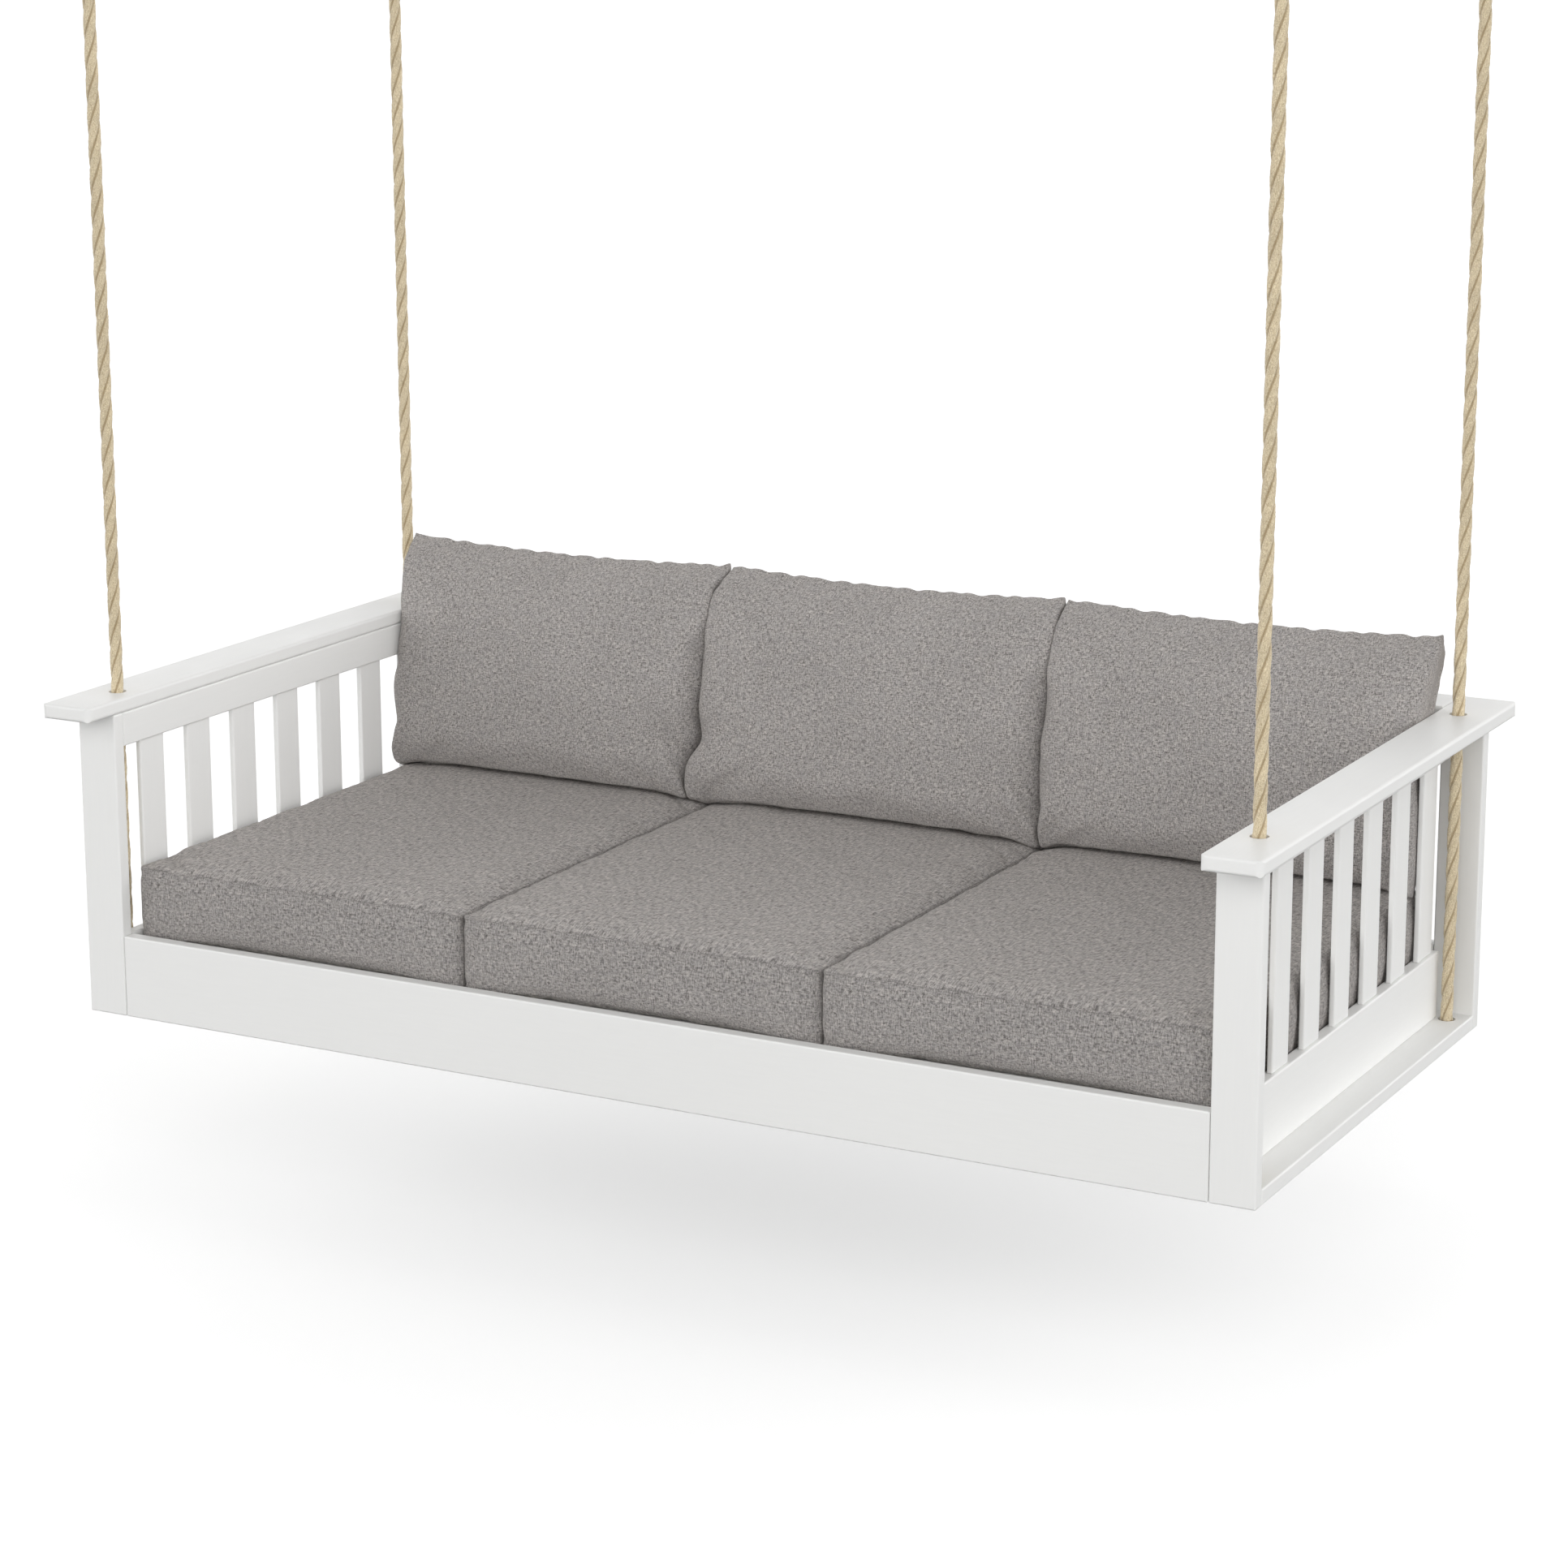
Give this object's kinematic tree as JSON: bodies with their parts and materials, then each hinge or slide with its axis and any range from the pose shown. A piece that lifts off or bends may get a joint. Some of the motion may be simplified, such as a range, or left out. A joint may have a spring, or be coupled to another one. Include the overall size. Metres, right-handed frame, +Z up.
{
  "type": "porch swing",
  "caption": "Hanging daybed porch swing: slatted lumber frame with flat arms, loose seat and back cushions, and rope suspension from ceiling eyes.",
  "frame": {"origin": "centre of the four ceiling eyes, in the plane of the ceiling", "axes": "+X to the sitter's left-to-right width as seen from the front, +Y from the front to the back, +Z up"},
  "size_m": [2.154, 1.15, 2.085],
  "materials": {
    "lumber": "satin white plastic lumber",
    "cushion_cloth": "mid-grey heather weave",
    "rope_fibre": "tan three-strand laid rope",
    "steel": "satin stainless"
  },
  "bodies": {
    "ceiling": {"ceiling_eye_front_left": "steel", "ceiling_eye_front_right": "steel", "ceiling_eye_rear_left": "steel", "ceiling_eye_rear_right": "steel"},
    "rear_ropes": {"rope_rear_left": "rope_fibre", "rope_rear_right": "rope_fibre", "thimble_rear_left": "steel", "thimble_rear_right": "steel"},
    "frame": {"arm_left": "lumber", "arm_right": "lumber", "front_leg_left": "lumber", "front_leg_right": "lumber", "rear_leg_left": "lumber", "rear_leg_right": "lumber", "base_plate_left": "lumber", "base_plate_right": "lumber", "side_rail_left": "lumber", "side_rail_right": "lumber", "arm_rail_left": "lumber", "arm_rail_right": "lumber", "slat_left_1": "lumber", "slat_left_2": "lumber", "slat_left_3": "lumber", "slat_left_4": "lumber", "slat_left_5": "lumber", "slat_left_6": "lumber", "slat_left_7": "lumber", "slat_right_1": "lumber", "slat_right_2": "lumber", "slat_right_3": "lumber", "slat_right_4": "lumber", "slat_right_5": "lumber", "slat_right_6": "lumber", "slat_right_7": "lumber", "front_rail": "lumber", "rear_rail": "lumber", "back_rail": "lumber", "back_cap": "lumber", "back_slats": "lumber", "bearer_1": "lumber", "bearer_2": "lumber", "bearer_3": "lumber", "bearer_4": "lumber", "seat_slats": "lumber", "seat_cushion_left": "cushion_cloth", "seat_cushion_middle": "cushion_cloth", "seat_cushion_right": "cushion_cloth", "back_cushion_left": "cushion_cloth", "back_cushion_middle": "cushion_cloth", "back_cushion_right": "cushion_cloth", "rope_end_front_left": "rope_fibre", "rope_end_front_right": "rope_fibre", "rope_end_rear_left": "rope_fibre", "rope_end_rear_right": "rope_fibre", "knot_washers": "steel", "base_screws": "steel"},
    "front_ropes": {"rope_front_left": "rope_fibre", "rope_front_right": "rope_fibre", "thimble_front_left": "steel", "thimble_front_right": "steel"}
  },
  "joints": [
    {"name": "swing", "type": "hinge", "parent": "ceiling", "child": "rear_ropes", "pos_m": [0, 0.441, -0.07], "axis": [1, 0, 0], "range_deg": [-20, 20]},
    {"name": "frame_level", "type": "hinge", "parent": "rear_ropes", "child": "frame", "pos_m": [0, 0.441, -1.455], "axis": [1, 0, 0], "range_deg": [-20, 20]},
    {"name": "front_rope_swing", "type": "hinge", "parent": "frame", "child": "front_ropes", "pos_m": [0, -0.441, -1.455], "axis": [1, 0, 0], "range_deg": [-20, 20]}
  ],
  "couplings": [
    {"joint": "frame_level", "follows": "swing", "ratio": -1},
    {"joint": "front_rope_swing", "follows": "swing", "ratio": 1}
  ]
}
